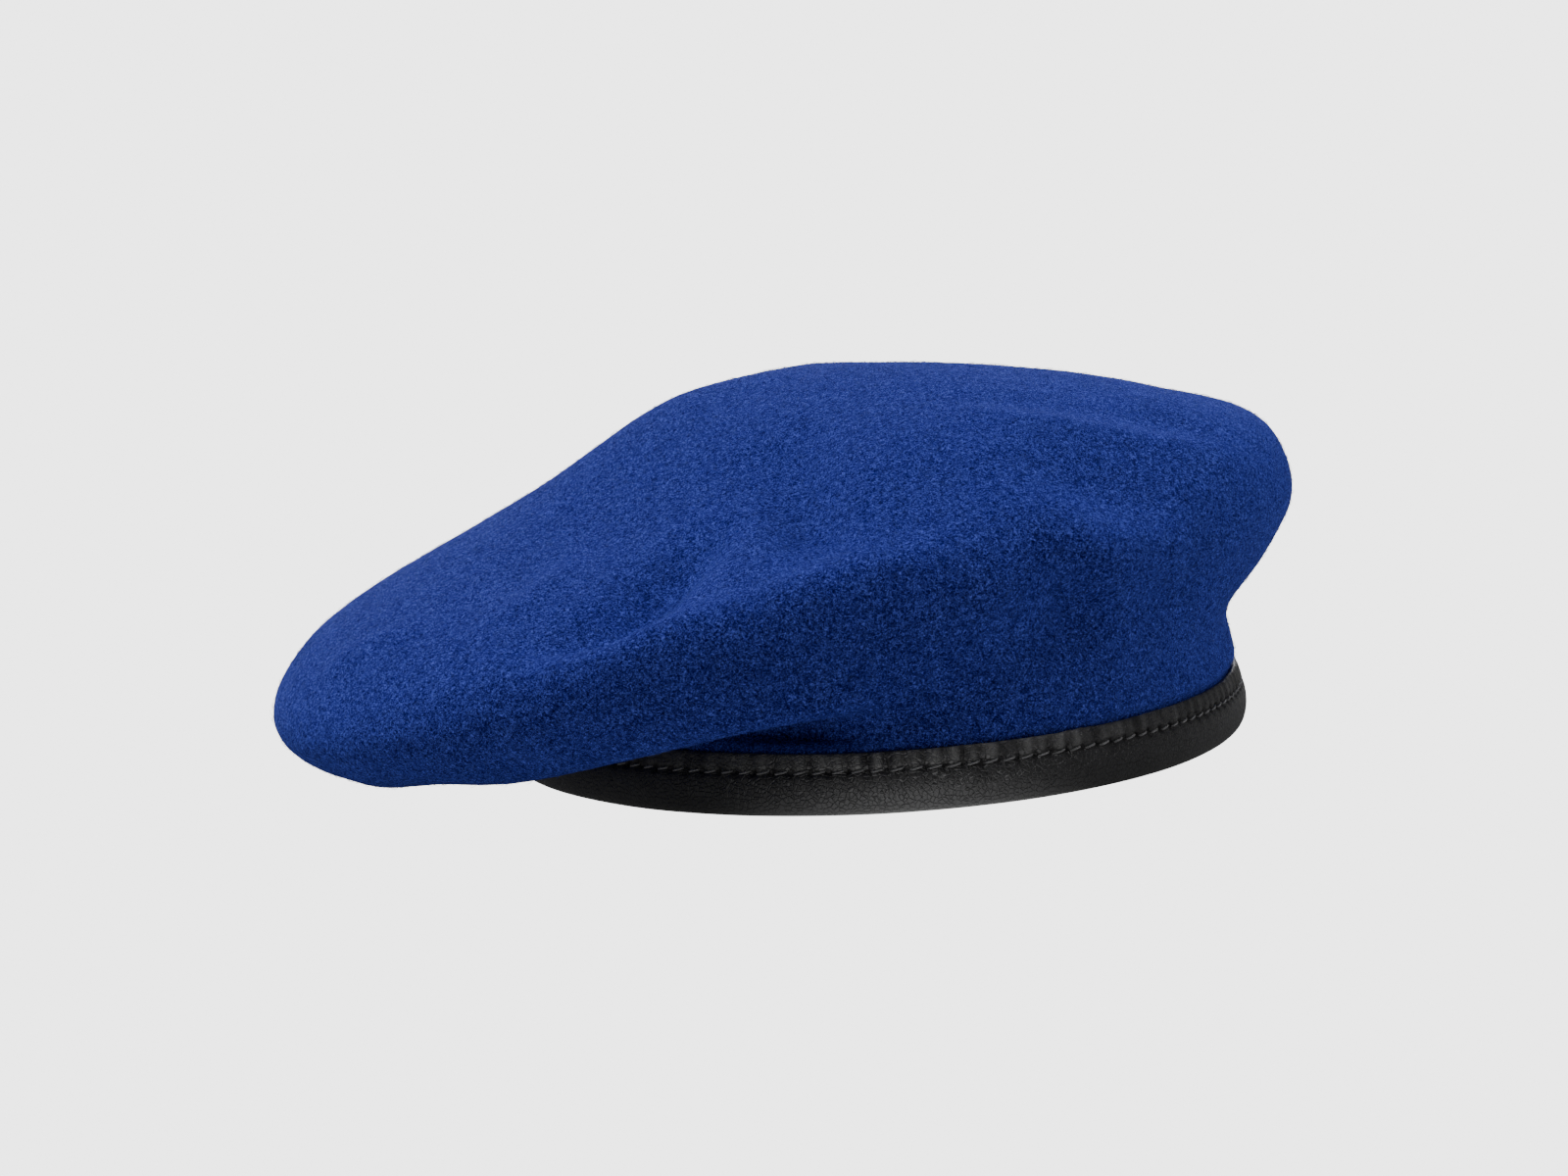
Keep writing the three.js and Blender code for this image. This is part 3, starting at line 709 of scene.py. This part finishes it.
def buildStudio():
    # floor, even sky and sun lamps
    half = studio["floorSize"] / 2 / mm
    corners = np.array([[-half, -half, 0], [half, -half, 0], [half, half, 0], [-half, half, 0]])
    floor = makeMesh("floor", corners, np.array([[0, 1, 2, 3]]))
    floor.data.materials.append(floorPaint())
    world = bpy.data.worlds.new("studio")
    world.use_nodes = True
    sky = world.node_tree.nodes["Background"]
    sky.inputs["Color"].default_value = (*studio["sky"], 1)
    sky.inputs["Strength"].default_value = studio["skyStrength"]
    bpy.context.scene.world = world
    for name, (strength, width, front, right) in studio["lights"].items():
        light = bpy.data.lights.new(name, "SUN")
        light.energy = strength
        light.angle = math.radians(width)
        lamp = bpy.data.objects.new(name, light)
        lamp.visible_glossy = name in studio["mirroredLights"]
        lamp.rotation_euler = (math.radians(front), math.radians(right), 0)
        bpy.context.scene.collection.objects.link(lamp)


# Camera: 9.65 degrees above the band, 1.63 m away, rolled 3 degrees, framed as in the photograph
view = dict(elevation=9.65, roll=3.0, distance=1630, millimetresPerPixel=0.231,
            centre=(893.2, 749.5), pictureWidth=1600, pictureHeight=1200, sensor=36)


def buildCamera():
    # eye = back * distance, aimed so that the hat's origin falls on the centre's pixel
    v = view
    e, r = math.radians(v["elevation"]), math.radians(v["roll"])
    back = Vector((0, -math.cos(e), math.sin(e)))
    level, rise = Vector((1, 0, 0)), Vector((0, math.sin(e), math.cos(e)))
    right, up = level * math.cos(r) - rise * math.sin(r), level * math.sin(r) + rise * math.cos(r)
    eye = back * v["distance"]
    k = v["millimetresPerPixel"]
    aim = right * k * (v["pictureWidth"] / 2 - v["centre"][0]) \
        + up * k * (v["centre"][1] - v["pictureHeight"] / 2)
    zAxis = (eye - aim).normalized()
    xAxis = up.cross(zAxis).normalized()
    yAxis = zAxis.cross(xAxis)
    data = bpy.data.cameras.new("camera")
    data.sensor_width = v["sensor"]
    data.lens = v["sensor"] * v["distance"] / (k * v["pictureWidth"])
    data.clip_end = 100
    camera = bpy.data.objects.new("camera", data)
    turn = Matrix((xAxis, yAxis, zAxis)).transposed().to_4x4()
    camera.matrix_world = Matrix.Translation(eye * mm) @ turn
    bpy.context.scene.collection.objects.link(camera)
    bpy.context.scene.camera = camera


buildStudio()
buildCamera()
print("studio and camera")
